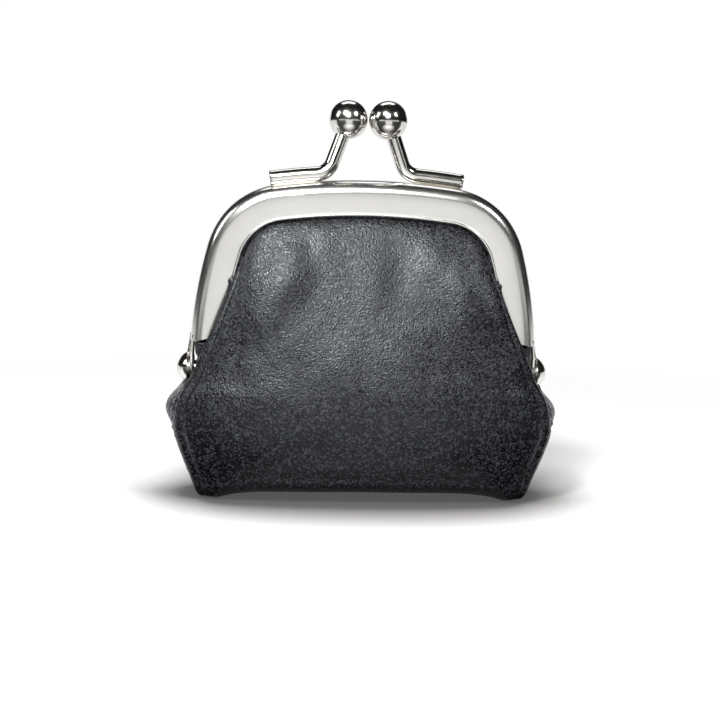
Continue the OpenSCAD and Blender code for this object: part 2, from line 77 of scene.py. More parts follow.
def sin(a):
    """The sine of an angle in degrees."""
    return math.sin(math.radians(a))


def cos(a):
    """The cosine of an angle in degrees."""
    return math.cos(math.radians(a))


arch_c = np.array([0, CROWN_Z - ARCH_R])
leg_c = np.array([HALF_W - LEG_R, HINGE_H])


def inner_tangent_centre(p, rp, q, rq):
    """Where circles round p and q with these radii cross: the centre of an arc tangent to both."""
    d = q - p
    l = np.linalg.norm(d)
    a = (rp * rp - rq * rq + l * l) / (2 * l)
    h = math.sqrt(rp * rp - a * a)
    return p + d * a / l + np.array([d[1], -d[0]]) * h / l


shoulder_c = inner_tangent_centre(arch_c, ARCH_R - SHOULDER_R, leg_c, LEG_R - SHOULDER_R)
arch_a = bearing(shoulder_c - arch_c)
shoulder_a = bearing(shoulder_c - leg_c)
foot_a = math.degrees(math.acos(FOOT_RISE / LEG_R))


def outline(a, n):
    """A point of the frame's outline, moved n outward, at an angle from straight up."""
    b, s = abs(a), math.copysign(1, a)
    if b <= arch_a:
        c, r = arch_c, ARCH_R
    elif b <= shoulder_a:
        c, r = shoulder_c, SHOULDER_R
    else:
        c, r = leg_c, LEG_R
    return s * (c[0] + (r + n) * sin(b)), c[1] + (r + n) * cos(b)


def outline_angle(f):
    """The outline's angle at a share f of the channel's mouth, from its middle to the shoulder's end."""
    arch_len = (ARCH_R - FLANGE_W) * arch_a
    shoulder_len = (SHOULDER_R - FLANGE_W) * (shoulder_a - arch_a)
    at = abs(f) * (arch_len + shoulder_len)
    if at <= arch_len:
        return math.copysign(at / (ARCH_R - FLANGE_W), f)
    return math.copysign(arch_a + (at - arch_len) / (SHOULDER_R - FLANGE_W), f)


def leg_x(z, n=0.0):
    """The outline's half width at a height on the leg."""
    return leg_c[0] + math.sqrt((LEG_R + n) ** 2 - (z - leg_c[1]) ** 2)


def soft_abs(v, r):
    """The absolute value with a rounded corner."""
    return math.sqrt(v * v + r * r)


TUCK_Z = HINGE_H + TUCK_RISE
BELLY_HALF = HALF_W + BELLY_OVERHANG
taper_up = BELLY_HALF - leg_x(TUCK_Z, -FLANGE_W)
taper_up /= soft_abs(TUCK_Z - BELLY_H, BELLY_ROUND) - BELLY_ROUND
taper_down = (BELLY_HALF - BASE_W / 2) / (soft_abs(BELLY_H, BELLY_ROUND) - BELLY_ROUND)
wall_r = BELLY_D / 2 - LEATHER_T / 2
wall_side_r = GUSSET_D / 2
rim_sag = (1 - cos(RIM_DROP)) / (HINGE_H - wall_r * sin(RIM_DROP) - BELLY_TOP) ** 2
base_sag = (1 - (BASE_D - LEATHER_T) / 2 / wall_r) / (BELLY_TOP - BASE_R) ** 2


def seam_x(z):
    """Half the width between the side seams at a height."""
    taper = taper_up if z > BELLY_H else taper_down
    return BELLY_HALF - LEATHER_T / 2 - taper * (soft_abs(z - BELLY_H, BELLY_ROUND) - BELLY_ROUND)


def side_shift(z):
    """How far the seams stand out above the belly's widest height."""
    return SIDE_STEP * max(0, min(1, (z - BELLY_H) / STEP_RISE))


def fullness(f):
    """How full the belly is across the panel: 1 in the middle, 0 at the seams."""
    return max(0, 1 - abs(f) ** SIDE_POWER) ** FULL_POWER


def wall_radius(f):
    """Half the belly's full depth across the panel."""
    return wall_side_r + (wall_r - wall_side_r) * fullness(f)


def wall_share(z):
    """How much of its full depth the belly has at a height."""
    return 1 - (rim_sag if z > BELLY_TOP else base_sag) * (z - BELLY_TOP) ** 2


def arch_lift(x, z):
    """How far the base is lifted between its two feet."""
    return BASE_ARCH * max(0, 1 - (x / (BASE_W / 2 - FOOT_W)) ** FOOT_POWER) * max(0, 1 - z / (2 * BASE_R))


# Curves and grids
SPAN_STEPS = 12


def resample(points, count):
    """Evenly spaced points on a centripetal Catmull-Rom curve through the given ones."""
    p = np.asarray(points, float)
    ext = np.vstack([2 * p[0] - p[1], p, 2 * p[-1] - p[-2]])
    dense = []
    for i in range(len(p) - 1):
        a, b, c, d = ext[i:i + 4]
        t0 = 0.0
        t1 = t0 + max(np.linalg.norm(b - a), 1e-6) ** 0.5
        t2 = t1 + max(np.linalg.norm(c - b), 1e-6) ** 0.5
        t3 = t2 + max(np.linalg.norm(d - c), 1e-6) ** 0.5
        for t in np.linspace(t1, t2, SPAN_STEPS, endpoint=False):
            a1 = (t1 - t) / (t1 - t0) * a + (t - t0) / (t1 - t0) * b
            a2 = (t2 - t) / (t2 - t1) * b + (t - t1) / (t2 - t1) * c
            a3 = (t3 - t) / (t3 - t2) * c + (t - t2) / (t3 - t2) * d
            b1 = (t2 - t) / (t2 - t0) * a1 + (t - t0) / (t2 - t0) * a2
            b2 = (t3 - t) / (t3 - t1) * a2 + (t - t1) / (t3 - t1) * a3
            dense.append((t2 - t) / (t2 - t1) * b1 + (t - t1) / (t2 - t1) * b2)
    dense.append(p[-1])
    dense = np.array(dense)
    length = np.concatenate([[0], np.cumsum(np.linalg.norm(np.diff(dense, axis=0), axis=1))])
    at = np.linspace(0, 1, count) * length[-1]
    return np.stack([np.interp(at, length, dense[:, k]) for k in range(3)], axis=1)


def grid_normals(g):
    """Unit normals at the points of a grid."""
    du = np.gradient(g, axis=0)
    dv = np.gradient(g, axis=1)
    n = np.cross(du, dv)
    return n / np.maximum(np.linalg.norm(n, axis=2, keepdims=True), 1e-9)


def make_mesh(name, verts, faces, angle=40):
    """A smooth shaded object from points in millimetres, with sharp edges above an angle."""
    mesh = bpy.data.meshes.new(name)
    mesh.from_pydata((np.asarray(verts, float) * MM).tolist(), [], faces)
    mesh.validate()
    mesh.update()
    obj = bpy.data.objects.new(name, mesh)
    bpy.context.scene.collection.objects.link(obj)
    mesh.polygons.foreach_set("use_smooth", [True] * len(mesh.polygons))
    mesh.set_sharp_from_angle(angle=math.radians(angle))
    return obj


def shell(name, grid, thickness, rim=3):
    """A closed sheet round a grid of middle points, with half-round edges."""
    n = grid_normals(grid)
    rows, cols = grid.shape[:2]
    front, back = grid + n * thickness / 2, grid - n * thickness / 2
    edge = [(0, j) for j in range(cols - 1)] + [(i, cols - 1) for i in range(rows - 1)]
    edge += [(rows - 1, j) for j in range(cols - 1, 0, -1)] + [(i, 0) for i in range(rows - 1, 0, -1)]
    verts = [*front.reshape(-1, 3), *back.reshape(-1, 3)]
    count = rows * cols
    faces = []
    for i in range(rows - 1):
        for j in range(cols - 1):
            a = i * cols + j
            faces.append((a, a + 1, a + cols + 1, a + cols))
            faces.append((count + a, count + a + cols, count + a + cols + 1, count + a + 1))
    loops = [[i * cols + j for i, j in edge]]
    for k in range(1, rim + 1):
        turn = math.pi * k / (rim + 1)
        ring = []
        for i, j in edge:
            out = np.zeros(3)
            if j in (0, cols - 1):
                d = grid[i, j] - grid[i, j - 1 if j else 1]
                out += d / max(np.linalg.norm(d), 1e-9)
            if i in (0, rows - 1):
                d = grid[i, j] - grid[i - 1 if i else 1, j]
                out += d / max(np.linalg.norm(d), 1e-9)
            out /= max(np.linalg.norm(out), 1e-9)
            ring.append(len(verts))
            verts.append(grid[i, j] + thickness / 2 * (math.cos(turn) * n[i, j] + math.sin(turn) * out))
        loops.append(ring)
    loops.append([count + i * cols + j for i, j in edge])
    for upper, lower in zip(loops, loops[1:]):
        m = len(upper)
        for k in range(m):
            faces.append((upper[k], lower[k], lower[(k + 1) % m], upper[(k + 1) % m]))
    return make_mesh(name, verts, faces)


def turned(g):
    """The same grid turned half a turn about Z."""
    return g * np.array([-1, -1, 1])


def swept(name, rings):
    """A solid through closed rings of points."""
    rings = np.asarray(rings, float)
    count, sides = rings.shape[:2]
    faces = []
    for i in range(count - 1):
        for k in range(sides):
            a, b = i * sides + k, i * sides + (k + 1) % sides
            faces.append((a, b, b + sides, a + sides))
    faces.append(tuple(range(sides - 1, -1, -1)))
    faces.append(tuple((count - 1) * sides + k for k in range(sides)))
    return make_mesh(name, rings.reshape(-1, 3), faces)


def bevel(obj, width, segments=2, angle=40):
    """Round an object's sharp edges, by a width in millimetres."""
    mod = obj.modifiers.new("bevel", "BEVEL")
    mod.width = width * MM
    mod.segments = segments
    mod.limit_method = "ANGLE"
    mod.angle_limit = math.radians(angle)
    mod.harden_normals = True
    return obj


# Leather panels. The swell under the flange is one Bezier curve from the channel's mouth to PANEL_Z.
COLUMNS, PANEL_ROWS = 121, 190
PANEL_LIFT, PANEL_SLOPE, PANEL_Z = 2.7, 10.0, 27.5
MOUTH_PLAY, SWELL_IN, SWELL_PULL = 0.6, 1.8, 0.36
SWELL_KEYS, SWELL_CROWD, WALL_KEYS = 12, 1.3, 5
COLUMN_F = np.sin(np.linspace(-1, 1, COLUMNS) * math.pi / 2)


def channel_point(f, n, lift=0.0):
    """A point in the leather's middle layer in the channel, or lifted out of it."""
    x, z = outline(outline_angle(f), n)
    return np.array([x, -FACE_Y - LEATHER_H - lift, z])


def panel_column(f):
    """Points down one panel at a share f of its half width: channel, front, base, middle line."""
    mouth = FLANGE_W + MOUTH_PLAY
    keys = [channel_point(f, -EDGE_R), channel_point(f, -(EDGE_R + mouth) / 2)]
    p0 = channel_point(f, -mouth)
    p1 = channel_point(f, -FLANGE_W - SWELL_IN, PANEL_LIFT)
    p3 = np.array([f * seam_x(PANEL_Z), -wall_share(PANEL_Z) * wall_radius(f), PANEL_Z])
    rise = np.array([-taper_up * f * cos(PANEL_SLOPE), sin(PANEL_SLOPE) * fullness(f), cos(PANEL_SLOPE)])
    p2 = p3 + rise * SWELL_PULL * np.linalg.norm(p3 - p0)
    for k in range(SWELL_KEYS + 1):
        t = (k / SWELL_KEYS) ** SWELL_CROWD
        keys.append((1 - t) ** 3 * p0 + 3 * t * (1 - t) ** 2 * p1 + 3 * t * t * (1 - t) * p2 + t ** 3 * p3)
    for k in range(1, WALL_KEYS + 1):
        z = PANEL_Z + (k - 0.1) / (WALL_KEYS + 1) * (BASE_R - PANEL_Z)
        x = f * (seam_x(z) + side_shift(z))
        keys.append(np.array([x, -wall_share(z) * wall_radius(f), z + arch_lift(x, z)]))
    flat = wall_share(BASE_R) * wall_radius(f) - BASE_R + LEATHER_T / 2
    r = BASE_R - LEATHER_T / 2
    for a in (0, 22.5, 45, 67.5, 90):
        z = BASE_R - r * sin(a)
        x = f * seam_x(z)
        keys.append(np.array([x, -flat - r * cos(a), z + arch_lift(x, z)]))
    last = keys[-1]
    keys.append(last * np.array([1, 0.5, 1]))
    keys.append(last * np.array([1, 0, 1]))
    return keys


# Moves of the panel's points along their normals, outside the channel (FREE_Y) and above FREE_Z.
FREE_Y, FREE_FADE, FREE_Z, FOOT_FADE, SIDE_FADE = -4.2, 2.5, 1.2, 3, 0.06
# Gathers: a fan of waves below the flange, from a point FAN_DROP under the floor.
FAN_DROP, FAN_WAVES, FAN_WANDER, GATHER, GATHER_FROM, GATHER_OVER = 20, 46, 1.7, 0.09, 40, 25
WANDER_SCALE = 0.05
# Slack: the noise's scale, what is added to its seed, and its height.
SLACK = ((0.045, 0, 0.32), (0.12, 9, 0.07))
# Folds: x, z, lean from upright in degrees, height; and their reach across and along.
FOLDS = ((-21, 48.5, -36, 1.1), (25, 47, 42, 0.9), (7, 54, 20, -0.5), (-30, 38, -10, -0.3))
FOLD_ACROSS, FOLD_ALONG = 5.0, 10
# The turned edge beside the seams: a ridge, and a groove further in.
HALF_SPAN, RIDGE_IN, RIDGE_W, SEAM_RISE = 38, 0.6, 0.6, 0.30
SEAM_IN, SEAM_W, SEAM_SINK = 1.6, 0.4, 0.30
# Pulled corners of the base: x, y, z, height, reach.
CORNERS = ((35.8, -9.5, 2.6, 1.0, 2.6), (-36.2, -9, 1.6, 0.8, 2.2))


def fbm(p, scale, seed):
    """Soft noise between about -1 and 1."""
    return noise.fractal(Vector((p[0] * scale + seed, p[1] * scale + 2 * seed, p[2] * scale)), 0.9, 2.1, 3)


def panel_grid(rows, seed):
    """One panel's middle surface, from the front channel down to the middle line of the base."""
    cols = [resample(panel_column(f), rows) for f in COLUMN_F]
    g = np.stack(cols, axis=1)
    n = grid_normals(g)
    for i in range(rows):
        for j in range(COLUMNS):
            x, y, z = g[i, j]
            f = COLUMN_F[j]
            if z < FREE_Z or y > FREE_Y:
                continue
            out = min(1, (FREE_Y - y) / FREE_FADE)
            fade = out * min(1, (z - FREE_Z) / FOOT_FADE) * min(1, (1 - abs(f)) / SIDE_FADE)
            fan = math.atan2(x, z + FAN_DROP)
            top = max(0, (z - GATHER_FROM) / GATHER_OVER)
            wander = FAN_WANDER * fbm((x, y, z), WANDER_SCALE, seed + 3)
            gather = math.sin(fan * FAN_WAVES + wander) * GATHER * top
            slack = sum(fbm((x, y, z), scale, seed + more) * height for scale, more, height in SLACK)
            pull = 0
            for cx, cz, lean, size in FOLDS:
                across = (x - cx) * cos(lean) + (z - cz) * sin(lean)
                along = -(x - cx) * sin(lean) + (z - cz) * cos(lean)
                pull += size * math.exp(-(across / FOLD_ACROSS) ** 2 - (along / FOLD_ALONG) ** 2)
            g[i, j] += n[i, j] * fade * (gather + slack + pull)
            inside = (1 - abs(f)) * HALF_SPAN
            turned_edge = SEAM_RISE * math.exp(-((inside - RIDGE_IN) / RIDGE_W) ** 2)
            turned_edge -= SEAM_SINK * math.exp(-((inside - SEAM_IN) / SEAM_W) ** 2)
            g[i, j] += n[i, j] * turned_edge * out
            for cx, cy, cz, size, spread in CORNERS:
                away = (x - cx) ** 2 + (y - cy) ** 2 + (z - cz) ** 2
                g[i, j] += n[i, j] * size * math.exp(-away / spread ** 2)
            g[i, j, 2] = max(g[i, j, 2], LEATHER_T / 2)
    return g


panel_front = panel_grid(PANEL_ROWS, 1.0)
panel_rear = turned(panel_grid(PANEL_ROWS, 5.0))
# Heights given for the panels' bend; BLEND_FROM, passed as a start, leaves a piece in place, and BLEND_TO
# is not used.
BLEND_FROM, BLEND_TO = (0, 0, 25.5 * MM), (0, 0, 31.0 * MM)


def soft_piece(obj, body, replaced=(), start=None, material=None):
    """Dress a soft piece, and let it ride a body, or leave it in place where a start is given."""
    obj.data.materials.append(material)
    if start is None:
        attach(obj, body)
    else:
        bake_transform(obj)
    if replaced:
        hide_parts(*replaced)
    return obj


# Materials
def new_material(name):
    """A material with one Principled shader, and the object's coordinates."""
    m = bpy.data.materials.new(name)
    m.use_nodes = True
    nt = m.node_tree
    nt.nodes.clear()
    out = nt.nodes.new("ShaderNodeOutputMaterial")
    bsdf = nt.nodes.new("ShaderNodeBsdfPrincipled")
    nt.links.new(bsdf.outputs["BSDF"], out.inputs["Surface"])
    coord = nt.nodes.new("ShaderNodeTexCoord")
    return m, nt, bsdf, coord.outputs["Object"]


def tex_noise(nt, vector, scale, detail=3.0, rough=0.5):
    """Noise of a scale."""
    n = nt.nodes.new("ShaderNodeTexNoise")
    n.inputs["Scale"].default_value = scale
    n.inputs["Detail"].default_value = detail
    n.inputs["Roughness"].default_value = rough
    nt.links.new(vector, n.inputs["Vector"])
    return n.outputs["Fac"]


def ramp(nt, value, stops):
    """Colours at stops along a value."""
    n = nt.nodes.new("ShaderNodeValToRGB")
    el = n.color_ramp.elements
    while len(el) < len(stops):
        el.new(0.5)
    for e, (pos, col) in zip(el, stops):
        e.position = pos
        e.color = (*col, 1)
    nt.links.new(value, n.inputs["Fac"])
    return n.outputs["Color"]


def map_range(nt, value, a, b, c, d):
    """A value from a to b, moved to c to d."""
    n = nt.nodes.new("ShaderNodeMapRange")
    for key, v in zip(("From Min", "From Max", "To Min", "To Max"), (a, b, c, d)):
        n.inputs[key].default_value = v
    nt.links.new(value, n.inputs["Value"])
    return n.outputs["Result"]


def math_node(nt, op, a, b=None):
    """One operation on sockets or plain numbers."""
    n = nt.nodes.new("ShaderNodeMath")
    n.operation = op
    for i, v in enumerate((a, b)):
        if v is None:
            continue
        if isinstance(v, (int, float)):
            n.inputs[i].default_value = v
        else:
            nt.links.new(v, n.inputs[i])
    return n.outputs[0]


def bump(nt, height, distance, strength):
    """Normals of a height, in metres."""
    n = nt.nodes.new("ShaderNodeBump")
    n.inputs["Strength"].default_value = strength
    n.inputs["Distance"].default_value = distance
    nt.links.new(height, n.inputs["Height"])
    return n.outputs["Normal"]


def leather_material():
    """Black leather with a fine pebbled grain, whose raised cells catch the light."""
    m, nt, bsdf, co = new_material("leather")
    cells = nt.nodes.new("ShaderNodeTexVoronoi")
    cells.feature = "F1"
    cells.inputs["Scale"].default_value = 2300
    nt.links.new(co, cells.inputs["Vector"])
    flecks = nt.nodes.new("ShaderNodeTexVoronoi")
    flecks.inputs["Scale"].default_value = 2600
    nt.links.new(co, flecks.inputs["Vector"])
    fleck = nt.nodes.new("ShaderNodeSeparateColor")
    nt.links.new(flecks.outputs["Color"], fleck.inputs["Color"])
    grain = tex_noise(nt, co, 3000, 1.0)
    patches = tex_noise(nt, co, 70)
    height = math_node(nt, "SUBTRACT", math_node(nt, "MULTIPLY", grain, 0.7),
                       math_node(nt, "MULTIPLY", cells.outputs["Distance"], 1.0))
    black, grey = (0.0008, 0.0009, 0.0013), (0.033, 0.035, 0.041)
    nt.links.new(ramp(nt, fleck.outputs[0], [(0.55, black), (1.0, grey)]), bsdf.inputs["Base Color"])
    nt.links.new(math_node(nt, "ADD", map_range(nt, fleck.outputs[1], 0.0, 1.0, 0.17, 0.50),
                           map_range(nt, patches, 0.35, 0.65, -0.02, 0.04)), bsdf.inputs["Roughness"])
    bsdf.inputs["Specular IOR Level"].default_value = 0.5
    bsdf.inputs["Specular Tint"].default_value = (0.93, 0.96, 1.0, 1)
    nt.links.new(bump(nt, height, 0.000058, 1.0), bsdf.inputs["Normal"])
    return m


def lining_material():
    """Dark grey woven cloth."""
    m, nt, bsdf, co = new_material("lining_cloth")
    wave = []
    for axis in ("DIAGONAL", "Z"):
        w = nt.nodes.new("ShaderNodeTexWave")
        w.bands_direction = axis
        w.inputs["Scale"].default_value = 700
        w.inputs["Distortion"].default_value = 0.6
        nt.links.new(co, w.inputs["Vector"])
        wave.append(w.outputs["Fac"])
    weave = math_node(nt, "MAXIMUM", *wave)
    nt.links.new(ramp(nt, weave, [(0.2, (0.02, 0.02, 0.024)), (0.9, (0.055, 0.055, 0.062))]),
                 bsdf.inputs["Base Color"])
    bsdf.inputs["Roughness"].default_value = 0.85
    bsdf.inputs["Sheen Weight"].default_value = 0.25
    bsdf.inputs["Specular IOR Level"].default_value = 0.25
    nt.links.new(bump(nt, weave, 0.00012, 0.8), bsdf.inputs["Normal"])
    return m


def metal_material(name, tint, low, high):
    """Bright plated metal whose roughness varies between low and high with its smudges."""
    m, nt, bsdf, co = new_material(name)
    bsdf.inputs["Metallic"].default_value = 1.0
    smudge = tex_noise(nt, co, 90, 4.0, 0.6)
    fine = tex_noise(nt, co, 2600, 2.0)
    dull = tuple(c * 0.93 for c in tint)
    nt.links.new(ramp(nt, smudge, [(0.35, dull), (0.65, tint)]), bsdf.inputs["Base Color"])
    nt.links.new(math_node(nt, "ADD", map_range(nt, smudge, 0.35, 0.7, low, high),
                           map_range(nt, fine, 0.3, 0.7, -0.008, 0.008)), bsdf.inputs["Roughness"])
    nt.links.new(bump(nt, fine, 0.0000015, 0.3), bsdf.inputs["Normal"])
    return m


def thread_material():
    """Grey sewing thread with a fine twist."""
    m, nt, bsdf, co = new_material("grey_thread")
    twist = nt.nodes.new("ShaderNodeTexWave")
    twist.inputs["Scale"].default_value = 900
    nt.links.new(co, twist.inputs["Vector"])
    nt.links.new(ramp(nt, twist.outputs["Fac"], [(0.2, (0.09, 0.09, 0.12)), (0.8, (0.20, 0.195, 0.25))]),
                 bsdf.inputs["Base Color"])
    bsdf.inputs["Roughness"].default_value = 0.5
    nt.links.new(bump(nt, twist.outputs["Fac"], 0.00004, 0.6), bsdf.inputs["Normal"])
    return m


def cord_material():
    """Brown kraft paper."""
    m, nt, bsdf, co = new_material("kraft_cord")
    fibre = tex_noise(nt, co, 900, 4.0)
    nt.links.new(ramp(nt, fibre, [(0.3, (0.30, 0.20, 0.10)), (0.7, (0.50, 0.37, 0.21))]),
                 bsdf.inputs["Base Color"])
    bsdf.inputs["Roughness"].default_value = 0.8
    nt.links.new(bump(nt, fibre, 0.00005, 0.6), bsdf.inputs["Normal"])
    return m


LEATHER = leather_material()
LINING = lining_material()
NICKEL = metal_material("nickel_frame", (0.80, 0.79, 0.76), 0.22, 0.26)
BRIGHT = metal_material("nickel_polished", (0.72, 0.705, 0.67), 0.13, 0.19)
SOLDER = metal_material("solder", (0.60, 0.56, 0.46), 0.34, 0.42)
CORD = cord_material()
THREAD = thread_material()

soft_piece(shell("outer_panel_front", panel_front, LEATHER_T), "front_half",
           ("front_leather", "pouch_leather"), BLEND_FROM, LEATHER)
soft_piece(shell("outer_panel_rear", panel_rear, LEATHER_T), "rear_half",
           ("rear_leather",), BLEND_FROM, LEATHER)

# Lining: how far behind the panel, how many of its rows and columns are left out, and its slack.
LINING_IN, LINING_ROWS, LINING_COLS = 0.95, 8, 2
LINING_TOP, LINING_TOP_FADE, LINING_FOOT, LINING_FOOT_FADE = 54, 12, 4, 6
LINING_SLACK, LINING_WAVE, LINING_WAVES, LINING_WANDER, LINING_SCALE = 0.55, 0.4, 0.32, 2.2, 0.11


def lining_grid(panel):
    """The lining behind a panel, with soft folds of its own away from its edges."""
    g = panel[LINING_ROWS:, LINING_COLS:-LINING_COLS]
    n = grid_normals(g)
    depth = np.full(g.shape[:2], LINING_IN)
    for i in range(g.shape[0]):
        for j in range(g.shape[1]):
            x, y, z = g[i, j]
            away = min(1, max(0, LINING_TOP - z) / LINING_TOP_FADE)
            away *= min(1, max(0, z - LINING_FOOT) / LINING_FOOT_FADE)
            away *= 1 - abs(COLUMN_F[j + LINING_COLS]) ** 4
            wave = math.sin(x * LINING_WAVES + LINING_WANDER * fbm((x, y, z), WANDER_SCALE, 11.0))
            wave += fbm((x, y, z), LINING_SCALE, 17.0)
            depth[i, j] += away * (LINING_SLACK + LINING_WAVE * wave)
    return g - n * depth[:, :, None]


for half, panel, replaced in (("front", panel_front, ("front_lining", "pouch_lining")),
                              ("rear", panel_rear, ("rear_lining",))):
    soft_piece(shell(f"lining_panel_{half}", lining_grid(panel), LINING_T), f"{half}_half",
               replaced, BLEND_FROM, LINING)


# Gussets: an ear below the rivet, a pleated web that joins the two halves above it, both with their
# lining, and a fold on each side of the rivet.
RIM_SIDE_Z = HINGE_H - wall_side_r * sin(RIM_DROP)
RIM_MIDDLE_Z = HINGE_H - EAR_R - SOFT_GAP - LEATHER_T
EAR_ROWS, EAR_COLS, EAR_LINING_IN, EAR_LINING_DROP = 70, 49, 1.0, 2.0
BULGE, BULGE_UP, BULGE_H, BULGE_LEAST = 2.4, 3.8, 3.6, 0.2
CREASE, CREASE_W, CREASE_Z, CREASE_H, EAR_SLACK = 0.35, 0.10, 14, 7, 0.18


def seam_y(z):
    """Half the gusset's depth at a height."""
    inset = LEATHER_T / 2 + SOFT_GAP
    if z >= BASE_R:
        return wall_share(z) * wall_side_r - SOFT_GAP
    return wall_share(BASE_R) * wall_side_r - BASE_R + math.sqrt(
        (BASE_R - inset) ** 2 - (BASE_R - max(z, inset)) ** 2)


def gusset_x(g, z):
    """How far the gusset stands out at a share g of its half depth."""
    bulge = BULGE * math.exp(-((z - BELLY_H - BULGE_UP) / BULGE_H) ** 2) + BULGE_LEAST
    return seam_x(z) + side_shift(z) + bulge * (1 - g * g)


def ear_grid(sign, inset=0.0, drop=0.0):
    """The gusset below the hinge: moved in by inset, and lower at its rim by drop, for the lining."""
    g = np.zeros((EAR_ROWS, EAR_COLS, 3))
    foot = LEATHER_T + SOFT_GAP + inset
    for j, s in enumerate(np.linspace(-1, 1, EAR_COLS)):
        top = RIM_MIDDLE_Z + (RIM_SIDE_Z - RIM_MIDDLE_Z) * abs(s) ** 3 - drop
        for i in range(EAR_ROWS):
            z = foot + (1 - i / (EAR_ROWS - 1)) * (top - foot)
            x = gusset_x(s, z) - inset
            crease = CREASE * math.exp(-(s / CREASE_W) ** 2) * math.exp(-((z - CREASE_Z) / CREASE_H) ** 2)
            x += EAR_SLACK * fbm((sign * 40, s * 6, z), 0.16, 3.0) * (1 - s * s) - crease
            g[i, j] = (sign * x, s * (seam_y(z) - inset / 2), z)
    return g if sign > 0 else g[:, ::-1]


for sign, side in SIDES:
    soft_piece(shell(f"gusset_ear_{side}", ear_grid(sign), LEATHER_T), "pouch",
               (f"{side}_gusset",), material=LEATHER)
    lining = ear_grid(sign, EAR_LINING_IN, EAR_LINING_DROP)
    soft_piece(shell(f"gusset_lining_{side}", lining, LINING_T), "pouch",
               (f"{side}_lining_gusset",), material=LINING)


# Webs: heights of their rows of control points, and where the web stands free and is tucked in.
WEB_HEIGHTS = (25.6, 27.3, 29, 31, 33.5, 36, 39, 42, 45, 48, 50.4, 52.2, 54, 55.8)
WEB_HINGE, WEB_FREE, WEB_TUCKED = 29, 36, 51
WEB_T, WEB_LINING_IN, FOLD_T = 0.7, 0.65, 0.6
WEB_ROWS, WEB_COLS = 60, 40
IN_CHANNEL_Y, OFF_CHANNEL = -3.0, 50


def edge_x(z, n):
    """The outline's half width at a height, on the leg and the shoulder."""
    points = np.array([outline(a, n) for a in np.linspace(foot_a, arch_a, 200)])
    return np.interp(z, points[:, 1], points[:, 0])


def smooth(t):
    """A soft step from 0 to 1."""
    return t * t * (3 - 2 * t)


def pleat(e, o):
    """Control points from behind the flange's edge e to the inner fold, o being the outline."""
    return [(e + 0.9, -5.55), (e - 0.9, -5.3), (e - 1.3, -3.4), (o - 9.8, -1.5), (o - 12, 0)]


def web_key(z):
    """Control points across the web at a height, from the panel's edge to the inner fold."""
    s = seam_x(z)
    if z > WEB_TUCKED:
        e, o = edge_x(z, -FLANGE_W), edge_x(z, 0)
        return [(e + 0.5, -3.6), (e, -3.5), (e - 0.9, -3.4), (e - 1.3, -2.6), (o - 9.8, -1.5), (o - 12, 0)]
    if z < WEB_HINGE:
        return [(s - 0.9, -6.6), (s - 1.2, -5.6), (s - 1.6, -4.6), (38.0, -3.4), (37.6, -1.8), (37.3, 0)]
    e, o = leg_x(z, -FLANGE_W), leg_x(z)
    if z >= WEB_FREE:
        edge = panel_front[:, -1]
        in_channel = abs(edge[:, 1] - IN_CHANNEL_Y) < 0.5
        edge_y = edge[np.argmin(abs(edge[:, 2] - z) + in_channel * OFF_CHANNEL), 1]
        return [(s - 0.5, min(edge_y + 0.9, -5.6))] + pleat(e, o)
    low = [(s - 0.5, -6.3), (s - 0.9, -5.9), (38.0, -5.2), (37.4, -4.2), (36.8, -2.4), (35.4, 0)]
    high = [(s - 0.5, -5.9)] + pleat(e, o)
    w = smooth((z - WEB_HINGE) / (WEB_FREE - WEB_HINGE))
    return [tuple((1 - w) * np.array(p) + w * np.array(q)) for p, q in zip(low, high)]


def placed(grid, sign, face):
    """A grid made for the front right corner, moved to the corner on these sides."""
    grid = grid * np.array([sign, -face, 1])
    return grid if sign * face < 0 else grid[:, ::-1]


def web_grid(sign, face, inset=0.0):
    """A web between a panel's edge and the middle plane, moved in by inset for its lining."""
    keys = np.array([[(x - inset, y, z) for x, y in web_key(z)] for z in WEB_HEIGHTS])
    cols = [resample(keys[:, j], WEB_ROWS) for j in range(keys.shape[1])]
    rows = [resample(np.array([c[i] for c in cols]), WEB_COLS) for i in range(WEB_ROWS)]
    return placed(np.array(rows), sign, face)


def corner_piece(name, grid, thickness, half, material):
    """A soft piece beside the hinge, left in place."""
    soft_piece(shell(name, grid, thickness), f"{half}_half",
               (), (0, 0, 0), material)


for sign, side in SIDES:
    for face, half in HALVES:
        corner_piece(f"web_{side}_{half}", web_grid(sign, face), WEB_T, half, LEATHER)
        corner_piece(f"web_lining_{side}_{half}", web_grid(sign, face, WEB_LINING_IN), LINING_T,
                     half, LINING)


FOLD_Z, FOLD_ROWS, FOLD_COLS = (27, 35.6), 26, 24
FOLD_X, FOLD_STEP, FOLD_STEP_Z, FOLD_STEP_H = 37.4, 1.05, 31.2, 2.6


def fold_grid(sign, face):
    """The gusset's fold that shows between the panel's edge and the hinge ear, below the flange."""
    rows = []
    for z in np.linspace(*FOLD_Z, FOLD_ROWS):
        s = seam_x(z)
        out = FOLD_X + FOLD_STEP * smooth(max(0, min(1, (z - FOLD_STEP_Z) / FOLD_STEP_H)))
        keys = [(min(s - 0.8, out), -6.0, z), (min(s + 0.2, out), -5.2, z), (out, -3.8, z), (out, -1.9, z),
                (out - 0.1, 0, z)]
        rows.append(resample(keys, FOLD_COLS))
    return placed(np.array(rows), sign, face)


for sign, side in SIDES:
    for face, half in HALVES:
        corner_piece(f"fold_{side}_{half}", fold_grid(sign, face), FOLD_T, half, LEATHER)


STITCH_IN, STITCH_FROM, STITCH_TO = 5, 0.8, 0.6


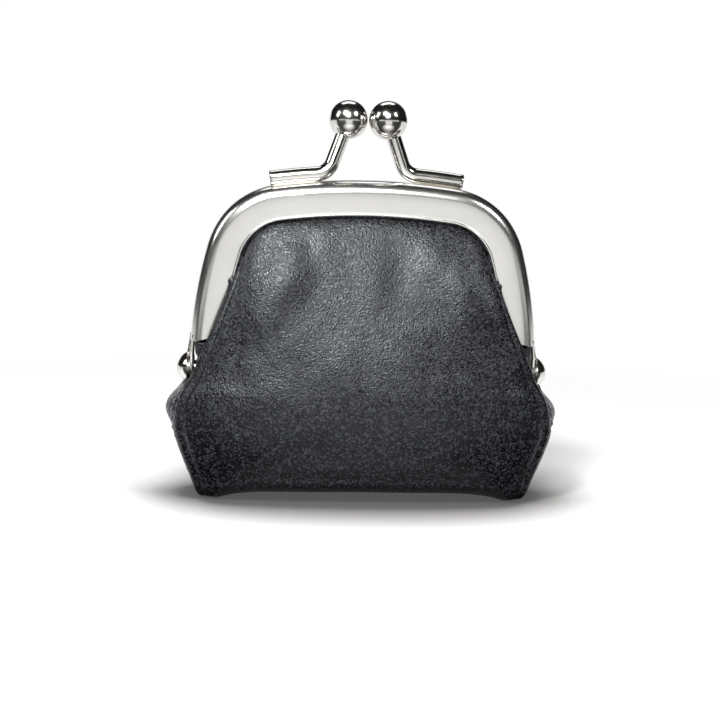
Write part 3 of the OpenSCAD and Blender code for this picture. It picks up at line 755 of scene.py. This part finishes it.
def stitches(name, lines, pitch=2.1, length=1.5, radius=0.19, arch=0.30, sink=0.16, steps=6, sides=8):
    """Short arched stitches along lines of points with their outward directions."""
    verts, faces = [], []
    for points, outward in lines:
        run = np.concatenate([[0], np.cumsum(np.linalg.norm(np.diff(points, axis=0), axis=1))])
        for start in np.arange(STITCH_FROM, run[-1] - length - STITCH_TO, pitch):
            rings = []
            for k in range(steps + 1):
                at = start + length * k / steps
                here = np.array([np.interp(at, run, points[:, c]) for c in range(3)])
                out = np.array([np.interp(at, run, outward[:, c]) for c in range(3)])
                ahead = np.array([np.interp(at + 0.05, run, points[:, c]) for c in range(3)]) - here
                ahead /= np.linalg.norm(ahead)
                side = np.cross(ahead, out)
                lift = arch * math.sin(math.pi * k / steps) - sink
                rings.append([here + out * (lift + radius * math.sin(t)) + side * radius * math.cos(t)
                              for t in np.linspace(0, 2 * math.pi, sides, endpoint=False)])
            first = len(verts)
            verts += [v for ring in rings for v in ring]
            for i in range(steps):
                for k in range(sides):
                    a, b = first + i * sides + k, first + i * sides + (k + 1) % sides
                    faces.append((a, b, b + sides, a + sides))
            faces.append(tuple(first + k for k in range(sides - 1, -1, -1)))
            faces.append(tuple(first + steps * sides + k for k in range(sides)))
    return make_mesh(name, verts, faces)


def seam_lines(sign):
    """Two lines down an ear, a little inside its seams with the panels."""
    g = ear_grid(sign)
    n = grid_normals(g)
    if n[EAR_ROWS // 3, EAR_COLS // 2, 0] * sign < 0:
        n = -n
    rows = slice(2, -6)
    return [(g[rows, j] + n[rows, j] * LEATHER_T / 2, n[rows, j])
            for j in (STITCH_IN, EAR_COLS - 1 - STITCH_IN)]


for sign, side in SIDES:
    soft_piece(stitches(f"gusset_stitching_{side}", seam_lines(sign)), "pouch", material=THREAD)


# Frame: a finer sweep of the channel's section, with the ears as separate plates.
LIP_STEPS, EDGE_STEPS, HEM_STEPS, HEM_STARTS = 9, 15, (8, 6), (2.4, 1.7)
EAR_STEPS, EAR_ACROSS, EAR_TURN = (4, 8, 8, 14), 9, 0.98
EAR_BEVEL, CHANNEL_BEVEL = 0.1, 0.12
# Turn, lap of the ear on the wall, and the ear's outer face at the rivet.
FRONT_EAR_X = HALF_W - LAP_STEP
FRAMES = (("front", 1, -LAP_STEP, FRONT_EAR_X),
          ("rear", -1, LAP_STEP, FRONT_EAR_X + EAR_CLEARANCE + SHEET_T))


def arc(c, r, angles):
    """Points of an arc round c."""
    return [(c[0] + r * cos(a), c[1] + r * sin(a)) for a in angles]


def channel_section():
    """The channel's section: how far outward, and how high above its face at the middle plane."""
    lip = np.linspace(-90, 0, LIP_STEPS)
    edge = np.linspace(0, 90, EDGE_STEPS)
    hem_c = (-FLANGE_W + HEM_R, CHANNEL_D - SHEET_T + HEM_R)
    start, start_in = (-FLANGE_W + share * HEM_R for share in HEM_STARTS)
    outer = [(-INNER_W, 0)] + arc((-LIP_R, LIP_R), LIP_R, lip)
    outer += arc((-EDGE_R, CHANNEL_D - EDGE_R), EDGE_R, edge)
    outer += [(start, CHANNEL_D)] + arc(hem_c, HEM_R, np.linspace(50, 165, HEM_STEPS[0]))
    inner = [(-INNER_W, SHEET_T)] + arc((-LIP_R, LIP_R), LIP_R - SHEET_T, lip)
    inner += arc((-EDGE_R, CHANNEL_D - EDGE_R), EDGE_R - SHEET_T, edge)
    inner += [(start, CHANNEL_D - SHEET_T), (start_in, CHANNEL_D - SHEET_T)]
    inner += arc(hem_c, HEM_R, np.linspace(270, 195, HEM_STEPS[1]))
    return outer + inner[::-1]


def end_angle(n):
    """Where the slanted foot cuts the channel, at a share of its width."""
    share = max(0, (-n - EDGE_R / 2) / (FLANGE_W - EDGE_R / 2))
    return math.degrees(math.acos((FOOT_RISE + FOOT_SLANT * share) / (LEG_R + n)))


def stations(foot, arch_steps=16, shoulder_steps=44, leg_steps=12):
    """Angles of a sweep from foot to foot."""
    half = list(np.linspace(0, arch_a, arch_steps, endpoint=False)[1:])
    half += list(np.linspace(arch_a, shoulder_a, shoulder_steps, endpoint=False))
    half += list(np.linspace(shoulder_a, foot, leg_steps))
    return [-a for a in half[::-1]] + [0.0] + half


def sweep_frame(section, foot, turn):
    """Rings of a channel from foot to foot, for the front (1) or the rear (-1)."""
    rings = []
    for a in stations(foot):
        ring = []
        for n, h in section:
            b = math.copysign(min(abs(a), end_angle(n)), a)
            x, z = outline(b, n)
            ring.append((turn * x, -turn * (FACE_Y + h), z))
        rings.append(ring)
    return rings


def ear_plate(name, turn, lap, layer_x, side):
    """A hinge ear: a bent strip that leaves the channel's wall and ends round at the rivet."""
    lap_z = FOOT_Z + EAR_LAP
    joggle_z = HINGE_H + EAR_R + JOGGLE_RISE
    profile = [(lap_z, leg_x(lap_z) + lap), (FOOT_Z, leg_x(FOOT_Z) + lap), (joggle_z, layer_x),
               (HINGE_H - EAR_R, layer_x)]
    turn_end = np.linspace(0, EAR_TURN * math.pi / 2, EAR_STEPS[3])
    zs = np.concatenate([np.linspace(lap_z, FOOT_Z, EAR_STEPS[0]),
                         np.linspace(FOOT_Z, joggle_z, EAR_STEPS[1])[1:],
                         np.linspace(joggle_z, HINGE_H, EAR_STEPS[2])[1:],
                         HINGE_H - EAR_R * np.sin(turn_end)[1:]])
    pz = [p[0] for p in profile][::-1]
    px = [p[1] for p in profile][::-1]
    rows = []
    for z in zs:
        x = np.interp(z, pz, px) - SHEET_T / 2
        off = abs(z - HINGE_H)
        round_y = math.sqrt(max(EAR_R ** 2 - off ** 2, 0.01)) if off < EAR_R else 0
        if z > FOOT_Z:
            y0, y1 = -FACE_Y - NECK_W, -FACE_Y - LIP_R
        elif z > joggle_z:
            y0, y1 = -FACE_Y - NECK_W, -FACE_Y
        elif z > HINGE_H:
            t = (z - HINGE_H) / (joggle_z - HINGE_H)
            y0 = min(-EAR_R * (1 - t) - (FACE_Y + NECK_W) * t, -round_y)
            y1 = max(-FACE_Y, round_y)
        else:
            y0, y1 = -round_y, round_y
        rows.append([(side * x, turn * y, z) for y in np.linspace(y0, y1, EAR_ACROSS)])
    g = np.array(rows, float)
    if side * turn < 0:
        g = g[:, ::-1]
    return bevel(shell(name, g, SHEET_T, rim=1), EAR_BEVEL)


def metal_piece(obj, body, replaced, material):
    """Dress a rigid piece and let it ride its body."""
    obj.data.materials.append(material)
    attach(obj, body)
    if replaced:
        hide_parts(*replaced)
    return obj


section = channel_section()
for half, turn, lap, layer in FRAMES:
    body = f"{half}_half"
    obj = bevel(swept(f"channel_{half}", sweep_frame(section, foot_a, turn)), CHANNEL_BEVEL)
    metal_piece(obj, body, (f"{half}_frame",), NICKEL)
    for side, tag in SIDES:
        ear = ear_plate(f"hinge_ear_{half}_{tag}", turn, lap, layer, side)
        metal_piece(ear, body, (), NICKEL)

# Paper cord: three twisted strands in one swept section.
CORD_N, CORD_SIDES, CORD_SHORT = -SHEET_T - 2 * PLY - CORD_D / 2, 18, 2
STRANDS, STRAND_TWIST, STRAND_MEAN, STRAND_WAVE = 3, 2.2, 0.93, 0.07
cord_rings = []
path_at = 0.0
last = None
for a in stations(foot_a - CORD_SHORT, 40, 80, 30):
    x, z = outline(a, CORD_N)
    if last is not None:
        path_at += math.dist(last, (x, z))
    last = (x, z)
    ring = []
    for k in range(CORD_SIDES):
        t = 2 * math.pi * k / CORD_SIDES
        r = CORD_D / 2 * (STRAND_MEAN + STRAND_WAVE * math.cos(STRANDS * t + path_at * STRAND_TWIST))
        px, pz = outline(a, CORD_N + r * math.cos(t))
        ring.append((px, -(FACE_Y + SHEET_T + PLY + CORD_D / 2 + r * math.sin(t)), pz))
    cord_rings.append(ring)
cord_rings = np.array(cord_rings)
for face, half in HALVES:
    rings = cord_rings if face < 0 else turned(cord_rings)
    metal_piece(swept(f"cord_{half}", rings), f"{half}_half", (f"{half}_paper_cord",), CORD)

# Clasp: bent rods and balls.
ROD_SIDES, BALL_SIDES, BALL_RINGS, BALL_CUT = 48, 72, 70, 157.5
# The rod's rounded end: share of its radius at a distance from the end.
ROD_END = ((0, 0.80), (0.02, 0.88), (0.10, 0.965), (0.25, 1.0))
BASE_STEPS, BEND_STEPS, STEM_STEPS = 12, 28, 8
# The solder's section: across the rod, and above the crown.
SOLDER_SECTION = ((-1.35, -0.22), (0, -0.3), (0.95, -0.2), (0.72, 0.12), (0.85, 0.45), (-0.85, 0.45),
                  (-0.97, 0.12))
SOLDER_SCALE, SOLDER_OUT, SOLDER_IN = [0.75, 0.92] + [1.0] * 20 + [0.85, 0.5], 0.12, 0.25
base_line_r = ARCH_R + ROD_R + SOLDER_GAP
rod_y = FACE_Y + (LIP_R + CHANNEL_D - EDGE_R) / 2
bend_a = math.degrees(math.asin(BEND_X / base_line_r))
end_a = math.degrees(math.asin(ARM_REACH / base_line_r))
bend_start = np.array([-base_line_r * sin(bend_a), -rod_y, arch_c[1] + base_line_r * cos(bend_a)])
ball_centre = np.array([-(BALL_R + BALL_CLEARANCE / 2), BALL_CROSS, CROWN_Z + BALL_RISE])
along = np.array([cos(bend_a), 0, sin(bend_a)])
reach = ball_centre - bend_start
reach_along = reach @ along
up = reach - reach_along * along
reach_off = np.linalg.norm(up)
up = up / reach_off
stem_len = math.sqrt(reach_along ** 2 + (reach_off - BEND_R) ** 2 - BEND_R ** 2)
turn_a = math.degrees(math.atan2(reach_off - BEND_R, reach_along) + math.atan2(BEND_R, stem_len))


def arm_path():
    """Points, directions and scales along the rod: on the crown, round the bend, up to the ball."""
    pts = []
    for k in range(BASE_STEPS + 1):
        a = end_a + (bend_a - end_a) * k / BASE_STEPS
        pts.append((np.array([-base_line_r * sin(a), -rod_y, arch_c[1] + base_line_r * cos(a)]),
                    np.array([cos(a), 0, sin(a)]), 1.0))
    first, direction, _ = pts[0]
    pts = [(first + at * direction, direction, scale) for at, scale in ROD_END] + pts[1:]
    for k in range(1, BEND_STEPS + 1):
        b = turn_a * k / BEND_STEPS
        pts.append((bend_start + BEND_R * (sin(b) * along + (1 - cos(b)) * up),
                    cos(b) * along + sin(b) * up, 1.0))
    stem, direction, _ = pts[-1]
    for k in range(1, STEM_STEPS + 1):
        at = (stem_len - BALL_R + SOCKET_DEPTH) * k / STEM_STEPS
        pts.append((stem + at * direction, direction, 1.0))
    return pts


normal = np.cross(along, up)
arm_rings = []
for p, d, scale in arm_path():
    u = normal - (normal @ d) * d
    u /= np.linalg.norm(u)
    v = np.cross(d, u)
    arm_rings.append([p + ROD_R * scale * (math.cos(t) * u + math.sin(t) * v)
                      for t in np.linspace(0, 2 * math.pi, ROD_SIDES, endpoint=False)])
arm_rings = np.array(arm_rings)


def ball_rings():
    """A ball, cut flat where the rod enters it."""
    stem_dir = ball_centre - (bend_start + BEND_R * (sin(turn_a) * along + (1 - cos(turn_a)) * up))
    stem_dir /= np.linalg.norm(stem_dir)
    u = np.cross(stem_dir, [0, 1, 0])
    u /= np.linalg.norm(u)
    v = np.cross(stem_dir, u)
    rings = []
    for a in np.linspace(BALL_CUT, 1, BALL_RINGS):
        r, h = BALL_R * sin(a), BALL_R * cos(a)
        rings.append([ball_centre + h * stem_dir + r * (math.cos(t) * u + math.sin(t) * v)
                      for t in np.linspace(0, 2 * math.pi, BALL_SIDES, endpoint=False)])
    return np.array(rings)


def solder_rings():
    """The solder that fills the gap between a rod and the crown."""
    rings = []
    angles = np.linspace(end_a - SOLDER_OUT, bend_a - SOLDER_IN, len(SOLDER_SCALE))
    for a, scale in zip(angles, SOLDER_SCALE):
        section = [(-rod_y + y * scale, ARCH_R + r * scale) for y, r in SOLDER_SECTION]
        rings.append([(-r * sin(a), y, arch_c[1] + r * cos(a)) for y, r in section])
    return np.array(rings)


for face, half in HALVES:
    rod, solder, ball = arm_rings, solder_rings(), ball_rings()
    if face > 0:
        rod, solder, ball = turned(rod), turned(solder), turned(ball)
    body = f"{half}_half"
    metal_piece(swept(f"clasp_rod_{half}", rod), body, (f"{half}_clasp_arm",), BRIGHT)
    metal_piece(swept(f"solder_{half}", solder), body, (), SOLDER)
    metal_piece(swept(f"clasp_knob_{half}", ball), body, (f"{half}_clasp_ball",), BRIGHT)

for name in ("left_rivet", "right_rivet"):
    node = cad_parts[name]
    node.data.materials.clear()
    node.data.materials.append(BRIGHT)


# Floor, cards of painted shade, lights and camera, in metres and degrees
FLOOR_HALF, FLOOR_LIFT, FLOOR_FADE, SHADE_SAMPLES, SHADE_REACH = 3, 0.09, (0.10, 0.26), 16, 0.037
# SHADOW: painted shadow, floor colours by how much the purse occludes a point within SHADE_REACH.
SHADOW = [(0.50, (0.05, 0.05, 0.05)), (0.70, (0.36, 0.35, 0.345)), (0.92, (0.95, 0.95, 0.95))]
# A dark dome, open to the front and the back: half width of each opening and height, in degrees.
DOME_STEP, DOME_R, FRONT_OPEN, BACK_OPEN = 5, 1.6, (60, 5), (40, 15)
DOME_COLOUR = (0.02, 0.02, 0.022, 1)
# Cards on the floor, on two rings round the purse, that paint shade into reflections of the floor, with a
# painted pool of light in the middle in front; the outer ones leave a gap in front.
CARD_STEP, CARD_RADII, CARD_TURN, CARD_GAP = 5, (0.035, 0.205, 1.4), 80, 20
CARD_Y, CARD_Z, CARD_FADE, CARD_PAINTED_LIGHT, CARD_PAINTED_SHADE = -0.12, 0.001, (0.03, 0.09), 0.95, 0.02
LAMP_AIM, WORLD_LIGHT = (0, 0, 0.045), 0.10


def stage_mesh(name, verts, faces, material):
    """A thing of the studio, which isn't part of the object."""
    mesh = bpy.data.meshes.new(name)
    mesh.from_pydata(verts, [], faces)
    obj = bpy.data.objects.new(name, mesh)
    bpy.context.scene.collection.objects.link(obj)
    obj.data.materials.append(material)
    return obj


def seen_by_eye(nt):
    """1 for rays from the camera, and for the mirrored and transmitted ones that show the same."""
    path = nt.nodes.new("ShaderNodeLightPath")
    seen = math_node(nt, "MAXIMUM", path.outputs["Is Camera Ray"], path.outputs["Is Glossy Ray"])
    return math_node(nt, "MAXIMUM", seen, path.outputs["Is Transmission Ray"])


def only_mirrored(obj):
    """Hide an object from all but reflections."""
    obj.visible_camera = False
    obj.visible_diffuse = False
    obj.visible_shadow = False
    obj.visible_transmission = False


def from_origin(nt):
    """How far a point is from the object's origin."""
    coord = nt.nodes.new("ShaderNodeTexCoord")
    away = nt.nodes.new("ShaderNodeVectorMath")
    away.operation = "LENGTH"
    nt.links.new(coord.outputs["Object"], away.inputs[0])
    return away.outputs["Value"]


def stage_material(name):
    """A material with its own Principled shader, already linked."""
    m = bpy.data.materials.new(name)
    m.use_nodes = True
    return m, m.node_tree, m.node_tree.nodes["Principled BSDF"]


def emission(nt, strength):
    """A white shader that glows."""
    n = nt.nodes.new("ShaderNodeEmission")
    n.inputs["Strength"].default_value = strength
    return n.outputs[0]


def mix(nt, share, a, b):
    """Shader a where the share is 0, and b where it is 1."""
    n = nt.nodes.new("ShaderNodeMixShader")
    for socket, source in zip(n.inputs, (share, a, b)):
        nt.links.new(source, socket)
    return n.outputs[0]


def floor_material():
    """White floor with a shadow painted into its colour near the purse by occlusion, melting into the
    white background.
    """
    m, nt, bsdf = stage_material("floor_white")
    shade = nt.nodes.new("ShaderNodeAmbientOcclusion")
    shade.samples = SHADE_SAMPLES
    shade.inputs["Distance"].default_value = SHADE_REACH
    # Painted shadow: the purse's occlusion darkens the floor's own colour.
    nt.links.new(ramp(nt, shade.outputs["AO"], SHADOW), bsdf.inputs["Base Color"])
    bsdf.inputs["Roughness"].default_value = 0.9
    bsdf.inputs["Specular IOR Level"].default_value = 0.0
    lifted = nt.nodes.new("ShaderNodeAddShader")
    nt.links.new(bsdf.outputs[0], lifted.inputs[0])
    nt.links.new(emission(nt, FLOOR_LIFT), lifted.inputs[1])
    far = map_range(nt, from_origin(nt), *FLOOR_FADE, 0, 1)
    seen = mix(nt, far, lifted.outputs[0], emission(nt, 1.0))
    surface = mix(nt, seen_by_eye(nt), bsdf.outputs[0], seen)
    nt.links.new(surface, nt.nodes["Material Output"].inputs["Surface"])
    return m


def studio_flags():
    """A dark dome round the purse that only reflections see, open to the front and the back."""
    m, _, bsdf = stage_material("flag_dark")
    bsdf.inputs["Base Color"].default_value = DOME_COLOUR
    bsdf.inputs["Roughness"].default_value = 1.0
    verts, faces = [], []
    azimuths = list(range(0, 360, DOME_STEP))
    elevations = list(range(0, 91, DOME_STEP))
    for e in elevations:
        for a in azimuths:
            verts.append((DOME_R * sin(a) * cos(e), -DOME_R * cos(a) * cos(e), DOME_R * sin(e)))
    for i, e in enumerate(elevations[:-1]):
        for k, a in enumerate(azimuths):
            from_front = abs((a + DOME_STEP / 2 + 180) % 360 - 180)
            in_front = from_front < FRONT_OPEN[0] and e < FRONT_OPEN[1]
            behind = 180 - from_front < BACK_OPEN[0] and e < BACK_OPEN[1]
            if in_front or behind:
                continue
            b = (k + 1) % len(azimuths)
            row, above = i * len(azimuths), (i + 1) * len(azimuths)
            faces.append((row + k, row + b, above + b, above + k))
    only_mirrored(stage_mesh("flags", verts, faces, m))


def floor_card():
    """Cards on the floor that only reflections see: painted shade, with a painted pool of light in the
    middle in front of the purse.
    """
    m, nt, bsdf = stage_material("card_painted_shade")
    out = map_range(nt, from_origin(nt), *CARD_FADE, 0, 1)
    # Painted light and shade: pale in front of the purse, dark further away, seen only in reflections.
    nt.links.new(ramp(nt, out, [(0.0, (CARD_PAINTED_LIGHT,) * 3), (1.0, (CARD_PAINTED_SHADE,) * 3)]),
                 bsdf.inputs["Base Color"])
    bsdf.inputs["Roughness"].default_value = 1.0
    turns = range(-CARD_TURN, CARD_TURN + 1, CARD_STEP)
    verts = [(r * sin(a), -r * cos(a) - CARD_Y, 0) for r in CARD_RADII for a in turns]
    faces = []
    for ring in range(2):
        for k, a in enumerate(turns[:-1]):
            if ring == 0 or not -CARD_GAP <= a < CARD_GAP:
                first = ring * len(turns) + k
                faces.append((first, first + len(turns), first + len(turns) + 1, first + 1))
    obj = stage_mesh("card", verts, faces, m)
    obj.location = (0, CARD_Y, CARD_Z)
    only_mirrored(obj)


corners = [(-FLOOR_HALF, -FLOOR_HALF, 0), (FLOOR_HALF, -FLOOR_HALF, 0),
           (FLOOR_HALF, FLOOR_HALF, 0), (-FLOOR_HALF, FLOOR_HALF, 0)]
stage_mesh("floor", corners, [(0, 1, 2, 3)], floor_material())
floor_card()
studio_flags()

world = bpy.data.worlds.new("studio")
bpy.context.scene.world = world
world.use_nodes = True
nt = world.node_tree
background = nt.nodes["Background"]
background.inputs["Color"].default_value = (1, 1, 1, 1)
nt.links.new(map_range(nt, seen_by_eye(nt), 0, 1, WORLD_LIGHT, 1.0), background.inputs["Strength"])


def toward(azimuth, elevation):
    """The direction from the purse to an azimuth, positive to the right, and an elevation."""
    return Vector((sin(azimuth) * cos(elevation), -cos(azimuth) * cos(elevation), sin(elevation)))


def lamp_at(name, azimuth, elevation, distance, size, energy):
    """A white soft box aimed at the purse."""
    light = bpy.data.lights.new(name, "AREA")
    light.shape = "RECTANGLE"
    light.size, light.size_y = size
    light.energy = energy
    place = Vector(LAMP_AIM) + toward(azimuth, elevation) * distance
    obj = bpy.data.objects.new(name, light)
    obj.location = place
    obj.rotation_euler = (Vector(LAMP_AIM) - place).to_track_quat("-Z", "Y").to_euler()
    bpy.context.scene.collection.objects.link(obj)


lamp_at("key_box", -6, 32, 0.75, (0.22, 0.28), 3.5)
lamp_at("high_box", -26, 43, 0.75, (0.13, 0.13), 4.4)
lamp_at("left_box", -75, 30, 0.75, (0.14, 0.30), 1.0)
lamp_at("right_box", 48, 36, 0.75, (0.10, 0.16), 1.4)
lamp_at("back_box", 180, 58, 0.8, (0.5, 0.3), 1.0)

AZIMUTH, ELEVATION, DISTANCE, ROLL, TARGET = -3.5, 7.5, 0.397, 1.4, (-0.0006, 0, 0.0318)
cam_data = bpy.data.cameras.new("camera")
cam_data.lens = 85
cam_data.sensor_width = 36
cam_data.clip_start = 0.01
camera = bpy.data.objects.new("camera", cam_data)
bpy.context.scene.collection.objects.link(camera)
direction = toward(AZIMUTH, ELEVATION)
camera.location = Vector(TARGET) + direction * DISTANCE
camera.rotation_euler = ((-direction).to_track_quat("-Z", "Y").to_matrix()
                         @ Matrix.Rotation(math.radians(ROLL), 3, "Z")).to_euler()
bpy.context.scene.camera = camera
bpy.context.scene.view_settings.view_transform = "Standard"
